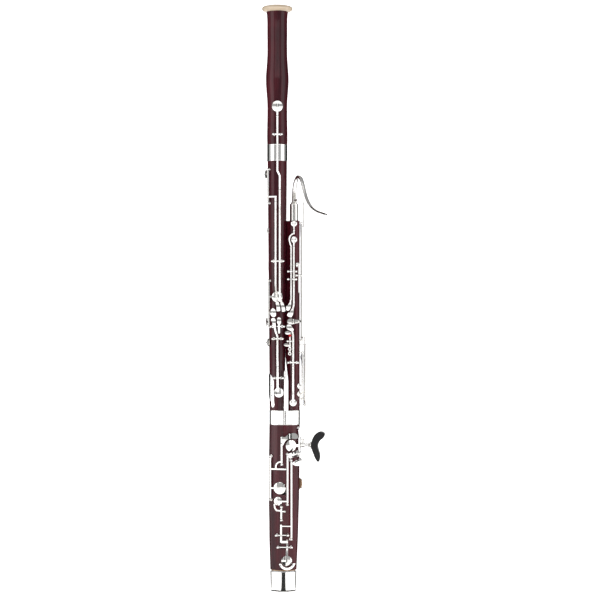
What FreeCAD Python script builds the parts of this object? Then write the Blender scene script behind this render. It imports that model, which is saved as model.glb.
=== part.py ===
"""A bassoon: bell, bass, wing and boot joints, bocal, hand rest and keywork.

Millimetres. +Z runs up the instrument and -Y faces the player, who sees +X on the right.
The origin is the middle of the boot cap's flat foot. Angles round a joint are counted from
-Y towards +X, so 0 is the player's side, 90 the right and 180 the finger side.
"""
import FreeCAD, Part
import math
import os
from FreeCAD import Placement, Rotation, Vector

UP = Vector(0, 0, 1)
doc = FreeCAD.newDocument("bassoon")

# ---------------------------------------------------------------- driving dimensions
SIZES = (
    ("bass_x", -14.0),          # axis of the bell and bass joint
    ("wing_x", 24.3),           # axis of the wing joint and bocal socket
    ("cap_top", 45.8),          # levels of the joints, from the foot
    ("boot_top", 381.3),
    ("band_top", 413.8),
    ("wing_top", 847.0),
    ("socket_top", 886.0),
    ("ferrule_low", 983.5),
    ("ferrule_high", 1021.3),
    ("ring_low", 1325.0),
    ("bell_top", 1338.5),
    ("tenon_depth", 40.0),
    ("bass_low_radius", 17.5),
    ("bass_high_radius", 22.3),
    ("bass_low_bore", 11.5),
    ("bass_high_bore", 15.8),
    ("bass_tenon", 13.8),
    ("bell_tenon", 18.0),
    ("wing_radius", 13.0),
    ("wing_low_bore", 6.8),
    ("wing_high_bore", 4.9),
    ("wing_tenon", 10.0),
    ("wing_lobe_x", 13.0),      # far side of the wing, behind the bass joint
    ("wing_lobe_y", 10.0),
    ("socket_bore", 6.3),
    ("wrap", 0.45),             # thickness of a tenon's thread lapping
    ("fit_gap", 0.05),
    ("mouth_bore", 20.0),
    ("mouth_depth", 20.0),
    ("ring_radius", 35.5),
    ("ring_seat", 21.8),
    ("ring_lip", 3.0),
    ("ferrule_radius", 23.3),
    ("plate_wall", 1.1),        # sheet silver of bands and caps
    ("cap_floor", 1.6),
    ("bow_half_span", 15.0),    # half the spacing of the boot's bores at the foot
    ("bow_bore", 9.4),
    ("bow_radius", 10.6),
    ("gasket", 2.4),
    ("rod_radius", 0.9),        # steel hinge rods
    ("tube_radius", 2.2),       # hinge tubes of the keys
    ("ball_radius", 2.9),
    ("hinge_height", 5.2),      # hinge centre above the wood
    ("bar_width", 4.4),
    ("bar_thick", 2.1),
    ("cup_wall", 0.9),
    ("cup_rise", 4.2),          # seat to crown of a closed key cup
    ("pad_proud", 1.0),
    ("crutch_radius", 4.0),
    ("strap_hole", 5.0),
    ("strap_ring_thick", 3.0),
)
sheet = doc.addObject("Spreadsheet::Sheet", "sizes")
for row, (alias, value) in enumerate(SIZES, start=1):
    sheet.set(f"A{row}", alias)
    sheet.set(f"B{row}", str(value))
    sheet.setAlias(f"B{row}", alias)
doc.recompute()


def size(alias):
    return float(sheet.get(alias))


BASS_X = size("bass_x")
WING_X = size("wing_x")
HINGE = size("hinge_height")
TUBE = size("tube_radius")
ROD = size("rod_radius")
BALL = size("ball_radius")
GAP = size("fit_gap")


# ---------------------------------------------------------------- document helpers
def bind(thing, prop, value):
    """Sets a property to a number, or ties it to the sheet when value is an expression."""
    if isinstance(value, str):
        thing.setExpression(prop, value)
    else:
        setattr(thing, prop, value)


def aim(thing, base, axis):
    thing.Placement = Placement(base, Rotation(UP, axis))
    return thing


def cylinder(name, radius, height, base, axis=UP):
    thing = doc.addObject("Part::Cylinder", name)
    bind(thing, "Radius", radius)
    bind(thing, "Height", height)
    return aim(thing, base, axis)


def cone(name, low_radius, high_radius, height, base, axis=UP):
    thing = doc.addObject("Part::Cone", name)
    bind(thing, "Radius1", low_radius)
    bind(thing, "Radius2", high_radius)
    bind(thing, "Height", height)
    return aim(thing, base, axis)


def feature(name, shape):
    thing = doc.addObject("Part::Feature", name)
    thing.Shape = shape
    return thing


def fuse(name, things):
    if len(things) == 1:
        return things[0]
    thing = doc.addObject("Part::MultiFuse", name)
    thing.Shapes = things
    thing.Refine = False
    return thing


def cut(name, base, tools):
    thing = doc.addObject("Part::Cut", name)
    thing.Base = base
    thing.Tool = fuse(name + "_tools", tools)
    thing.Refine = False
    return thing


nodes = {}


def node(name, thing):
    """Marks a document object as a finished sub-part."""
    thing.Label = name
    nodes[name] = thing
    return thing


def group(name, shapes):
    """One node for many alike pieces, each of them a solid of its own."""
    return node(name, feature(name, Part.makeCompound(shapes)))


# ---------------------------------------------------------------- shape helpers
def rod(start, end, radius):
    return Part.makeCylinder(radius, (end - start).Length, start, end - start)


def moved(shape, point, axis):
    """A shape made on the origin along +Z, carried to a point and turned along axis."""
    shape.Placement = Placement(point, Rotation(UP, axis))
    return shape


def turned(points, closing_arc=None):
    """A solid of revolution about Z from (radius, height) corners, closed by an arc if given."""
    corners = [Vector(r, 0, z) for r, z in points]
    edges = [Part.makeLine(a, b) for a, b in zip(corners, corners[1:])]
    if closing_arc is None:
        edges.append(Part.makeLine(corners[-1], corners[0]))
    else:
        middle = Vector(closing_arc[0], 0, closing_arc[1])
        edges.append(Part.Arc(corners[-1], middle, corners[0]).toShape())
    return Part.Face(Part.Wire(edges)).revolve(Vector(), UP, 360)


def stadium(low, high, radius, z):
    """A closed wire round two equal circles whose centres are low and high, at level z."""
    along = Vector(high[0] - low[0], high[1] - low[1], 0).normalize()
    side = Vector(-along.y, along.x, 0) * radius
    a, b = Vector(low[0], low[1], z), Vector(high[0], high[1], z)
    return Part.Wire([
        Part.makeLine(a - side, b - side),
        Part.Arc(b - side, b + along * radius, b + side).toShape(),
        Part.makeLine(b + side, a + side),
        Part.Arc(a + side, a - along * radius, a - side).toShape(),
    ])


def curve(points, closed=False):
    line = Part.BSplineCurve()
    line.interpolate(Points=points, PeriodicFlag=closed)
    return line.toShape()


def softened(shape, edges, radius):
    """The shape with its edges rounded, by less where a tight bend will not take it all."""
    for share in (1.0, 0.6, 0.3):
        try:
            rounded = shape.makeFillet(radius * share, edges)
        except (ValueError, Part.OCCError):
            continue
        if rounded.isValid():
            return rounded
    return shape


def flat_bar(points, normal, width, thick, round_over=0.7):
    """A key arm: a strip of the given width round a flat path, with softened edges."""
    if len(points) == 2:
        along = (points[1] - points[0]).normalize() * (width / 2)
        side = normal.cross(along)
        a, b = points
        outline = Part.Wire([
            Part.makeLine(a - side, b - side),
            Part.Arc(b - side, b + along, b + side).toShape(),
            Part.makeLine(b + side, a + side),
            Part.Arc(a + side, a - along, a - side).toShape(),
        ])
    else:
        outline = Part.makePolygon(points).makeOffset2D(width / 2, 0, False, False, False)
    slab = Part.Face(outline).extrude(normal * thick)
    slab.translate(normal * (-thick / 2))
    rims = [e for e in slab.Edges if abs(e.tangentAt(e.FirstParameter).dot(normal)) < 1e-4]
    return softened(slab, rims, min(round_over, thick * 0.42))


class Side:
    """A face of a joint: u runs round it, z up it, and heights stand off the wood."""

    def __init__(self, axis_x, radius, turn=0.0, slope=0.0, axis_y=0.0):
        angle = math.radians(turn)
        self.out = Vector(math.sin(angle), -math.cos(angle), 0)
        self.across = Vector(math.cos(angle), math.sin(angle), 0)
        self.axis = Vector(axis_x, axis_y, 0)
        self.radius = radius
        self.normal = (self.out - UP * slope).normalize()

    def at(self, u, z, height=0.0):
        stand = self.radius(z) + height
        return self.axis + self.out * stand + self.across * u + UP * z


def bass_radius(z):
    share = (z - size("band_top")) / (size("ferrule_low") - size("band_top"))
    return size("bass_low_radius") + share * (size("bass_high_radius") - size("bass_low_radius"))


BASS_SLOPE = bass_radius(1) - bass_radius(0)
BELL_RADIUS = 23.5
BOOT_STATIONS = (  # level, left edge, right edge, half depth
    (45.8, -30.0, 30.0, 20.0),
    (120.0, -32.3, 33.4, 21.3),
    (210.0, -33.6, 36.2, 22.0),
    (300.0, -33.3, 37.0, 22.0),
    (381.3, -32.2, 37.6, 22.0),
)


END_SHARE = 0.75            # radius of the boot's round ends, as a share of its half depth


class Oval:
    """A four-arc oval: round ends joined by flatter faces, kept tangent where they meet."""

    def __init__(self, left, right, depth):
        self.middle = (left + right) / 2
        self.depth = depth
        self.end = END_SHARE * depth
        self.reach = (right - left) / 2 - self.end
        self.face = (self.reach ** 2 + depth ** 2 - self.end ** 2) / (2 * (depth - self.end))
        self.limit = self.reach / (self.face - self.end)

    def centre(self, across, out_y):
        """The centre and radius of the arc that faces a direction."""
        if abs(across) > self.limit:
            return Vector(self.middle + math.copysign(self.reach, across), 0, 0), self.end
        offset = math.copysign(self.face - self.depth, -out_y)
        return Vector(self.middle, offset, 0), self.face

    def wire(self, z, grow=0.0):
        """The oval at a level, grown outwards by a distance all round."""
        slope = Vector(self.limit, -math.sqrt(1 - self.limit ** 2), 0) * (self.end + grow)
        joints = [Vector(self.middle + sx * (self.reach + slope.x), sy * slope.y, z)
                  for sx, sy in ((-1, 1), (1, 1), (1, -1), (-1, -1))]
        half, deep = self.reach + self.end + grow, self.depth + grow
        tops = [Vector(self.middle, -deep, z), Vector(self.middle + half, 0, z),
                Vector(self.middle, deep, z), Vector(self.middle - half, 0, z)]
        return Part.Wire([Part.Arc(joints[i], tops[i], joints[(i + 1) % 4]).toShape()
                          for i in range(4)])


def boot_oval(z):
    """The boot's section at a level."""
    for low, high in zip(BOOT_STATIONS, BOOT_STATIONS[1:]):
        if z <= high[0] or high is BOOT_STATIONS[-1]:
            share = (z - low[0]) / (high[0] - low[0])
            return Oval(*[a + share * (b - a) for a, b in zip(low[1:], high[1:])])


def boot_radius(z):
    return boot_oval(z).depth


def bass_side(turn=0.0):
    return Side(BASS_X, bass_radius, turn, BASS_SLOPE)


def wing_side(turn=0.0):
    return Side(WING_X, lambda z: size("wing_radius"), turn)


def boot_side(turn, z):
    """The side of the boot that faces a direction, near a level."""
    angle = math.radians(turn)
    centre, radius = boot_oval(z).centre(math.sin(angle), -math.cos(angle))
    return Side(centre.x, lambda level: radius, turn, 0.0, centre.y)


def boot_face(x, z, fingers=False):
    """The boot's front or finger face at a distance across it, turned to lie on the wood."""
    oval = boot_oval(z)
    turn = math.degrees(math.asin((x - oval.middle) / oval.face))
    return boot_side(180 - turn if fingers else turn, z)


# ---------------------------------------------------------------- keywork helpers
posts = []
rods = []
pad_seats = {"bell": [], "bass": [], "wing": [], "boot": []}


def wood_below(joint, point):
    """The point of a joint's surface under a hinge, and the way out of the wood there."""
    if joint == "boot":
        oval = boot_oval(point.z)
        centre, radius = oval.centre(0, point.y)
        if abs(point.x - centre.x) > oval.limit * (Vector(point.x, point.y, 0) - centre).Length:
            centre, radius = oval.centre(point.x - oval.middle, point.y)
    else:
        centre = Vector(WING_X if joint == "wing" else BASS_X, 0, 0)
        radius = {
            "bell": BELL_RADIUS,
            "bass": bass_radius(point.z),
            "wing": size("wing_radius"),
        }[joint]
    out = (Vector(point.x, point.y, 0) - centre).normalize()
    return centre + UP * point.z + out * (radius + 0.06), out


def post(joint, ball, along):
    """A pillar with a foot on the wood and a ball that the hinge rod passes through."""
    foot, out = wood_below(joint, ball)
    tall = (ball - foot).dot(out)
    flange = Part.makeCylinder(3.0, 0.9, foot, out)
    pillar = Part.makeCone(2.0, 1.35, tall, foot, out)
    body = flange.fuse([pillar, Part.makeSphere(BALL, ball)])
    hole = rod(ball - along * 2 * BALL, ball + along * 2 * BALL, ROD + GAP)
    return body.cut(hole)


class Key:
    """A key: hinge tubes on a rod between posts, with arms, cups and touches fused to them."""

    def __init__(self, name, joint, start, end):
        self.name, self.joint = name, joint
        self.start, self.end = start, end
        self.along = (end - start).normalize()
        self.parts, self.bores = [], []

    def hang(self, rod_too=True, posts_at=(True, True)):
        """The rod and posts that carry the key."""
        if rod_too:
            rods.append(rod(self.start, self.end, ROD))
        for wanted, ball in zip(posts_at, (self.start, self.end)):
            if wanted:
                posts.append(post(self.joint, ball, self.along))
        return self

    def tube(self, low=None, high=None):
        """A hinge tube between two distances along the rod, by default all but the balls."""
        ends = BALL + (0.3 if self.along.z > 0.5 else 0.9)
        low = ends if low is None else low
        high = (self.end - self.start).Length - ends if high is None else high
        base = self.start + self.along * low
        tag = f"{self.name}_tube{len(self.bores)}"
        self.parts.append(cylinder(tag, "sizes.tube_radius", high - low, base, self.along))
        bore = cylinder(tag + "_bore", "sizes.rod_radius + sizes.fit_gap", high - low + 2,
                        base - self.along, self.along)
        self.bores.append(bore)
        return self

    def add(self, tag, shape):
        self.parts.append(feature(f"{self.name}_{tag}", shape))
        return self

    def bar(self, tag, side, path, height, width=None, thick=None):
        points = [side.at(u, z, height) for u, z in path]
        width = size("bar_width") if width is None else width
        thick = size("bar_thick") if thick is None else thick
        return self.add(tag, flat_bar(points, side.normal, width, thick))

    def strut(self, tag, start, end, out, width=None, thick=None):
        """A straight arm between two points, lying flat to the way out."""
        run = (end - start).normalize()
        normal = (out - run * out.dot(run)).normalize()
        width = size("bar_width") if width is None else width
        thick = size("bar_thick") if thick is None else thick
        return self.add(tag, flat_bar([start, end], normal, width, thick))

    def arch(self, tag, path, width=None, thick=None):
        """An arm bent in the plane square to the joint, through points at one level."""
        width = size("bar_width") if width is None else width
        thick = size("bar_thick") if thick is None else thick
        return self.add(tag, flat_bar(path, UP, thick, width))

    def profile(self, tag, side, u, path, width=None, thick=None):
        """An arm bent in the plane that stands on the joint's length, through (z, height)."""
        points = [side.at(u, z, height) for z, height in path]
        width = size("bar_width") if width is None else width
        thick = size("bar_thick") if thick is None else thick
        return self.add(tag, flat_bar(points, side.across, thick, width))

    def hold_cup(self, width=None):
        """An arm from the hinge tube over the rim of the last cup to its crown."""
        centre, out = self.crown
        hinge = Vector(self.start.x, self.start.y, centre.z)
        toward = hinge - centre
        toward = (toward - out * toward.dot(out)).normalize()
        over = centre + toward * (self.cup_radius * 0.88) + out * 0.8
        return self.arch(f"cup_arm{len(self.parts)}", [hinge, over, centre + out * 0.6], width)

    def knob(self, tag, side, u, z, height, radius=3.0):
        return self.add(tag, Part.makeSphere(radius, side.at(u, z, height)))

    def touch(self, tag, side, outline, height, thick=2.4, crown=26.0):
        """A domed finger plate with a free outline."""
        points = [side.at(u, z, height - thick / 2) for u, z in outline]
        prism = Part.Face(Part.Wire([curve(points, True)])).extrude(side.normal * (thick + 3))
        us, zs = [u for u, z in outline], [z for u, z in outline]
        middle = side.at((min(us) + max(us)) / 2, (min(zs) + max(zs)) / 2, height + thick / 2)
        dome = Part.makeSphere(crown, middle - side.normal * crown)
        return self.add(tag, prism.common(dome))

    def cup(self, tag, side, u, z, radius, depth, opened=0.0, stem_to=None, pad_node=None):
        """A domed pad cup, made shut on its seat and then turned open by an angle in degrees."""
        seat = side.at(u, z, -depth)
        inner = radius - size("cup_wall")
        proud, rise = size("pad_proud"), size("cup_rise")
        roof = rise - 1.8
        crown_radius = (radius ** 2 + (rise - roof) ** 2) / (2 * (rise - roof))
        half = radius / 2
        half_height = rise - crown_radius + math.sqrt(crown_radius ** 2 - half ** 2)
        dish = turned(
            [(0, rise), (0, roof), (inner, roof), (inner, proud), (radius, proud), (radius, roof)],
            (half, half_height),
        )
        pad = turned([(0, 0), (inner - 0.5, 0), (inner - 0.05, 0.5), (inner - 0.05, roof - 0.05),
                      (0, roof - 0.05)])
        shapes = [moved(dish, seat, side.normal)]
        if stem_to is not None:
            top = side.at(u, z, stem_to)
            shapes.append(rod(seat + side.normal * (rise - 0.8), top, 2.2))
        pad = moved(pad, seat + side.normal * GAP, side.normal)
        for shape in shapes + [pad]:
            shape.rotate(self.start, self.along, opened)
        for index, shape in enumerate(shapes):
            self.add(f"{tag}{index}", shape)
        swing = Rotation(self.along, opened)
        self.crown = (self.start + swing.multVec(seat + side.normal * rise - self.start),
                      swing.multVec(side.normal))
        self.cup_radius = radius
        if pad_node:
            node(pad_node, feature(pad_node, pad))
        pad_seats[self.joint].append((side, u, z, radius, depth))
        return self

    def finish(self):
        whole = fuse(self.name + "_solid", self.parts)
        return node(self.name, cut(self.name, whole, self.bores))


def seat_tools(joint, tag):
    """Cutters for the pad seats of a joint and the tone holes under them."""
    tools = []
    for index, (side, u, z, radius, depth) in enumerate(pad_seats[joint]):
        seat = side.at(u, z, -depth)
        tools.append(cylinder(f"{tag}_seat{index}", radius + 0.6, depth + 12, seat, side.normal))
        reach = side.radius(z) - depth - 2
        hole = max(1.6, (radius - 1.4) * 0.62)
        tools.append(cylinder(f"{tag}_hole{index}", hole, reach, seat, side.normal * -1))
    return tools


def seat_depth(wood_radius, cup_radius):
    """How deep a flat seat is cut in round wood to carry the whole pad."""
    reach = cup_radius - size("cup_wall") - 0.3
    return wood_radius - math.sqrt(wood_radius ** 2 - reach ** 2)


# ================================================================ bell key
bell_front = Side(BASS_X, lambda z: BELL_RADIUS)
BELL_KEY_Z, BELL_HINGE = 1043.0, 8.4
BELL_CUP_RADIUS, BELL_OPEN = 12.3, 6.2
key = Key("bell_bb_key", "bell", bell_front.at(-8.8, BELL_KEY_Z, BELL_HINGE),
          bell_front.at(10.4, BELL_KEY_Z, BELL_HINGE))
key.hang().tube()
key.bar("arm", bell_front, [(0.6, 1102), (0.6, 998.5)], BELL_HINGE)
key.knob("knob", bell_front, 0.6, 1083, BELL_HINGE)
key.cup("cup", bell_front, 0.6, 1106, BELL_CUP_RADIUS, 3.0, BELL_OPEN, None, "bell_bb_pad")
key.finish()

# ================================================================ bass joint keys, thumb side
front = bass_side()
LONG_HINGE_Z, LONG_HEIGHT = 754.6, 6.8
low_bb = Key("low_bb_lever", "bass", front.at(-11.4, LONG_HINGE_Z, LONG_HEIGHT),
             front.at(13.8, LONG_HINGE_Z, LONG_HEIGHT))
low_bb.hang().tube(11.4, 22.0)
low_bb.bar("bar", front, [(0.6, 1003), (0.6, 960), (6.0, 949), (6.0, 676), (10.0, 660)],
           LONG_HEIGHT)
low_bb.knob("knob", front, 6.0, 914.8, LONG_HEIGHT)
low_bb.touch("touch", front, [(7.5, 668), (12.0, 663), (16.5, 652), (18.8, 640), (16.5, 632.5),
                              (12.5, 634), (10.8, 642), (8.0, 656)], LONG_HEIGHT + 0.6)
low_bb.finish()

low_b = Key("low_b_lever", "bass", low_bb.start, low_bb.end)
low_b.tube(3.4, 11.0)
low_b.bar("bar", front, [(-3.6, 901), (-3.6, 700)], LONG_HEIGHT)
low_b.strut("ramp", front.at(-3.6, 702, LONG_HEIGHT), front.at(-0.9, 662, LONG_HEIGHT + 2.4),
            front.normal, 4.0)
low_b.knob("knob", front, -3.6, 889, LONG_HEIGHT, 2.9)
low_b.touch("touch", front, [(-2.8, 670), (1.2, 665), (5.4, 654), (7.0, 641), (4.5, 632.5),
                             (0.4, 634), (-1.2, 643), (-2.6, 656)], LONG_HEIGHT + 2.2)
low_b.finish()

LEFT_TURN = -51.0
left_tubes = bass_side(LEFT_TURN)
low_b_cup = bass_side(-88)
key = Key("low_b_key", "bass", left_tubes.at(0, 887, HINGE), left_tubes.at(0, 964, HINGE))
key.hang().tube()
key.arch("link", [left_tubes.at(0, 901, HINGE), left_tubes.at(7, 901, HINGE + 3.2),
                  front.at(-5.6, 901, LONG_HEIGHT + 2.8), front.at(-1.8, 901, LONG_HEIGHT + 2.8)],
         3.6)
key.cup("cup", low_b_cup, 0, 953.8, 10.2, seat_depth(bass_radius(953.8), 10.2), 13.0, None,
        "low_b_pad")
key.hold_cup()
key.finish()

key = Key("low_c_key", "bass", left_tubes.at(0, 604.5, HINGE), left_tubes.at(0, 710, HINGE))
key.hang().tube()
key.cup("cup", front, 0.6, 673.3, 12.0, seat_depth(bass_radius(673.3), 12.0), -7.0, None,
        "low_c_pad")
key.hold_cup()
key.touch("touch", front, [(-9.0, 647), (-3.6, 642), (-2.6, 636), (-4.0, 629), (-9.0, 627.5),
                           (-14.0, 631), (-15.5, 637), (-13.6, 644)], 7.4)
key.strut("touch_arm", left_tubes.at(0, 637, HINGE), front.at(-10.5, 637, 7.0),
          left_tubes.normal + front.normal)
key.finish()

LOW_D_Z, LOW_D_HEIGHT = 577.8, 7.6
key = Key("low_d_lever", "bass", front.at(-10.4, LOW_D_Z, LOW_D_HEIGHT),
          front.at(12.0, LOW_D_Z, LOW_D_HEIGHT))
key.hang().tube()
key.bar("bar", front, [(-6.0, 606), (-3.5, 594), (0.6, 583), (0.6, 522)], LOW_D_HEIGHT)
key.touch("touch", front, [(-11.8, 624.5), (-8.0, 625.5), (-4.2, 622), (-3.4, 611), (-4.4, 603),
                           (-8.4, 603), (-10.6, 612)], LOW_D_HEIGHT + 0.4)
key.finish()

low_d_cup = bass_side(12)
key = Key("low_d_key", "bass", front.at(-7.0, 488.5, HINGE), front.at(12.6, 488.5, HINGE))
key.hang().tube()
key.profile("bar", front, 1.0, [(527, 10.6), (514, 10.6), (502, 6.3), (457, 5.7)])
key.knob("knob", front, 1.0, 513.5, 10.6, 2.8)
key.cup("cup", low_d_cup, 0, 455.7, 11.0, seat_depth(bass_radius(455.7), 11.0), -7.0, None,
        "low_d_pad")
key.finish()

THUMB_CS_Z = 605.7
key = Key("thumb_csharp_lever", "bass", front.at(-14.4, THUMB_CS_Z, 3.6),
          front.at(15.0, THUMB_CS_Z, 3.6))
key.hang().tube(14.2, 23.6)
key.bar("bar", front, [(4.2, 618), (4.2, 592)], 3.6, 5.2)
key.touch("touch", front, [(4.4, 626.5), (8.0, 624), (8.8, 618), (7.4, 611.5), (4.2, 610),
                           (0.8, 612.5), (-0.2, 618.5), (1.0, 625)], 4.8)
key.finish()

# ================================================================ bass joint keys, finger side
FINGER_TURN = -140.0
eb_tubes = bass_side(FINGER_TURN)
eb_cup = bass_side(-72)
eb_touch = bass_side(-106)
back = bass_side(180)
key = Key("low_eb_key", "bass", eb_tubes.at(0, 545, HINGE), eb_tubes.at(0, 634, HINGE))
key.hang().tube()
key.cup("cup", eb_cup, 0, 569, 9.6, seat_depth(bass_radius(569), 9.6), -7.0, None, "low_eb_pad")
key.hold_cup()
key.touch("touch", eb_touch, [(-5, 624), (0, 626), (5.5, 623), (6.5, 615.5), (5, 608), (0, 606),
                              (-5, 608), (-6, 615.5)], 6.8)
key.strut("touch_arm", eb_tubes.at(0, 615.5, HINGE), eb_touch.at(-3, 615.5, 6.4),
          eb_tubes.normal + eb_touch.normal)
key.finish()

cs_tubes = bass_side(FINGER_TURN)
cs_cup = bass_side(-92)
key = Key("low_csharp_key", "bass", cs_tubes.at(0, 650, HINGE), cs_tubes.at(0, 838, HINGE))
key.hang().tube()
posts.append(post("bass", cs_tubes.at(0, 745, HINGE), UP))
key.bores.append(feature("low_csharp_gap", Part.makeCylinder(
    BALL + 0.35, 2 * BALL + 0.7, cs_tubes.at(0, 745 - BALL - 0.35, HINGE))))
key.add("sleeve", rod(cs_tubes.at(4.6, 735, HINGE + 0.5), cs_tubes.at(4.6, 755, HINGE + 0.5), 1.3))
for level in (737.5, 752.5):
    key.add(f"sleeve_end{level:.0f}", rod(cs_tubes.at(0.5, level, HINGE),
                                          cs_tubes.at(4.6, level, HINGE + 0.5), 1.3))
key.cup("cup", cs_cup, 0, 824, 9.0, seat_depth(bass_radius(824), 9.0))
key.hold_cup()
key.touch("touch", back, [(-4, 662), (2, 665), (8, 664), (11, 659), (9, 654), (2, 651.5),
                          (-4, 653), (-6, 658)], 6.6)
key.strut("touch_arm", cs_tubes.at(0, 659.5, HINGE), back.at(6, 659.5, 6.2),
          cs_tubes.normal + back.normal)
key.finish()

# ================================================================ wing joint keys, thumb side
wing = wing_side()
HIGH_BAR = 8.5
key = Key("c_key", "wing", wing.at(-13.4, 731.2, HINGE), wing.at(4.9, 731.2, HINGE))
key.hang().tube(3.6, 9.2)
key.bar("upper", wing, [(0, 838), (0, 817.5)], HINGE, 3.4)
key.bar("hook", wing, [(0, 818), (-5.2, 815.6), (-9.2, 811.4), (-10.8, 805.6), (-10.2, 799),
                       (-6.6, 789)], HINGE, 3.4)
key.bar("lower", wing, [(-6.6, 789.5), (-6.6, 668), (-10.0, 657)], HINGE, 3.2)
key.knob("knob", wing, 0, 825.5, HINGE, 2.5)
key.cup("cup", wing, 0, 840.4, 6.6, seat_depth(13.0, 6.6), 0.0, HINGE)
key.touch("touch", wing, [(-6.4, 662), (-6.6, 654), (-9.0, 646), (-13.5, 641.5), (-18.0, 644.5),
                          (-18.2, 650.5), (-13.5, 655), (-9.0, 661)], HINGE + 0.4)
key.finish()

key = Key("a_key", "wing", wing.at(-13.4, 713.3, HIGH_BAR), wing.at(4.9, 713.3, HIGH_BAR))
key.hang().tube(9.6, 15.0)
key.bar("bar", wing, [(-0.3, 803.8), (-0.3, 655), (-3.6, 643)], HIGH_BAR, 4.0)
key.knob("knob", wing, -0.3, 785.5, HIGH_BAR, 2.6)
key.cup("cup", wing, -0.3, 803.8, 7.2, seat_depth(13.0, 7.2), 0.0, HIGH_BAR)
key.touch("touch", wing, [(-0.8, 650), (-0.6, 641), (-3.4, 631), (-8.6, 625.5), (-14.0, 628),
                          (-14.6, 634.5), (-10.0, 639), (-5.0, 646)], HIGH_BAR + 0.4)
key.finish()

CS_LEVER_Z = 523.3
key = Key("csharp_lever", "wing", wing.at(-13.0, CS_LEVER_Z, HINGE),
          wing.at(8.6, CS_LEVER_Z, HINGE))
key.hang().tube()
key.bar("bar", wing, [(-6.0, 598.5), (-3.2, 592), (-1.9, 584), (-1.9, 434)], HINGE)
key.knob("knob", wing, -1.9, 452.3, HINGE, 2.8)
key.cup("cup", wing, -1.9, 431.5, 7.8, seat_depth(13.0, 7.8), 0.0, HINGE)
key.touch("touch", wing, [(-17.4, 606.5), (-13.5, 610), (-8.4, 609.4), (-4.0, 604.5),
                          (-1.4, 596), (-5.0, 594.5), (-10.0, 597), (-15.5, 600)], HINGE + 0.4)
key.finish()

LOCK_Z = 572.0
key = Key("whisper_lock", "wing", wing.at(-14.6, LOCK_Z, HINGE), wing.at(-5.6, LOCK_Z, HINGE))
key.hang(posts_at=(True, False)).tube(3.9, 9.0)
key.bar("bar", wing, [(-9.2, 592), (-9.2, 560)], HINGE, 3.2)
key.touch("upper_touch", wing, [(-9.4, 593.2), (-13.0, 595.4), (-18.0, 594.6), (-20.6, 591.4),
                                (-18.0, 588.2), (-13.0, 587.4), (-9.0, 589.4)], HINGE + 0.6)
key.touch("lower_touch", wing, [(-8.6, 566.8), (-14.0, 566.4), (-20.0, 567), (-23.4, 564),
                                (-20.0, 560.8), (-13.5, 560), (-8.6, 562)], HINGE + 0.6)
key.bar("link", wing, [(-9.2, 564), (-9.8, 543)], HINGE, 4.4, 1.8)
for level in (554.4, 543.4):
    key.add(f"eye{level:.0f}", rod(wing.at(-9.8, level, HINGE - 0.9), wing.at(-9.8, level, HINGE + 0.9), 3.8))
    key.bores.append(cylinder(f"whisper_eye{level:.0f}", 1.7, 6, wing.at(-9.8, level, HINGE - 3), wing.normal))
key.finish()

right_trill = wing_side(37)
key = Key("high_d_key", "wing", right_trill.at(-6.0, 722, HINGE), right_trill.at(6.0, 722, HINGE))
key.hang().tube()
key.bar("bar", right_trill, [(0, 746), (0, 684)], HINGE, 3.0)
key.cup("cup", right_trill, 0, 746.5, 5.6, seat_depth(13.0, 5.6), 0.0, HINGE)
key.finish()

# ================================================================ whisper mechanism
WHISPER_TURN, WHISPER_HEIGHT = 80.0, 4.4
whisper_tubes = wing_side(WHISPER_TURN)
key = Key("whisper_key", "wing", whisper_tubes.at(0, 574, WHISPER_HEIGHT),
          whisper_tubes.at(0, 842, WHISPER_HEIGHT))
key.hang().tube()
NIB = Vector(0.6, -0.8, 0)
nib_tip = Vector(WING_X, 0, 894) + NIB * 9.6
pad_back = nib_tip + NIB * 5.2
riser_foot = whisper_tubes.at(0, 833, WHISPER_HEIGHT + 5.0)
riser_top = Vector(riser_foot.x, riser_foot.y, 891)
key.add("riser_arm", rod(whisper_tubes.at(0, 833, WHISPER_HEIGHT), riser_foot, 1.5))
key.add("riser_joint", Part.makeSphere(1.5, riser_foot)).add("riser", rod(riser_foot, riser_top, 1.5))
key.add("riser_tip", Part.makeSphere(1.5, riser_top))
key.add("pad_arm", rod(riser_top, pad_back, 1.4))
key.add("pad_cup", rod(nib_tip + NIB * 3.2, pad_back + NIB * 1.2, 3.3))
key.add("pad", rod(nib_tip + NIB * 1.9, nib_tip + NIB * 3.2, 2.7))
key.touch("touch", wing, [(-15.4, 617.4), (-12.0, 622.6), (-5.0, 623.6), (5.0, 621.2), (13.0, 619.0),
                          (13.0, 616.0), (5.0, 612.8), (-5.0, 610.6), (-12.0, 612.0)], 8.2, 2.2, 60)
key.strut("touch_arm", whisper_tubes.at(0, 617.5, WHISPER_HEIGHT), wing.at(11.6, 617.5, 7.8),
          whisper_tubes.normal + wing.normal, 4.8)
key.strut("link_arm", whisper_tubes.at(0, 580, WHISPER_HEIGHT),
          whisper_tubes.at(-5.5, 580, WHISPER_HEIGHT + 4.5), Vector(1, 1, 0), 3.6)
key.finish()

link_tubes = wing_side(92)
LINK_HEIGHT = 11.6
key = Key("whisper_link", "wing", link_tubes.at(0, 426, LINK_HEIGHT),
          link_tubes.at(0, 563, LINK_HEIGHT))
key.hang().tube()
key.strut("upper_arm", link_tubes.at(0, 558, LINK_HEIGHT), link_tubes.at(-8, 558, LINK_HEIGHT),
          link_tubes.normal, 3.6)
key.add("finger", rod(link_tubes.at(-8, 558, LINK_HEIGHT), link_tubes.at(-8, 583, LINK_HEIGHT), 1.4))
key.add("finger_tip", Part.makeSphere(1.4, link_tubes.at(-8, 583, LINK_HEIGHT)))
key.bar("foot", link_tubes, [(-1.6, 434), (-6.8, 428), (-6.8, 398)], LINK_HEIGHT, 4.6)
key.finish()

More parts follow.
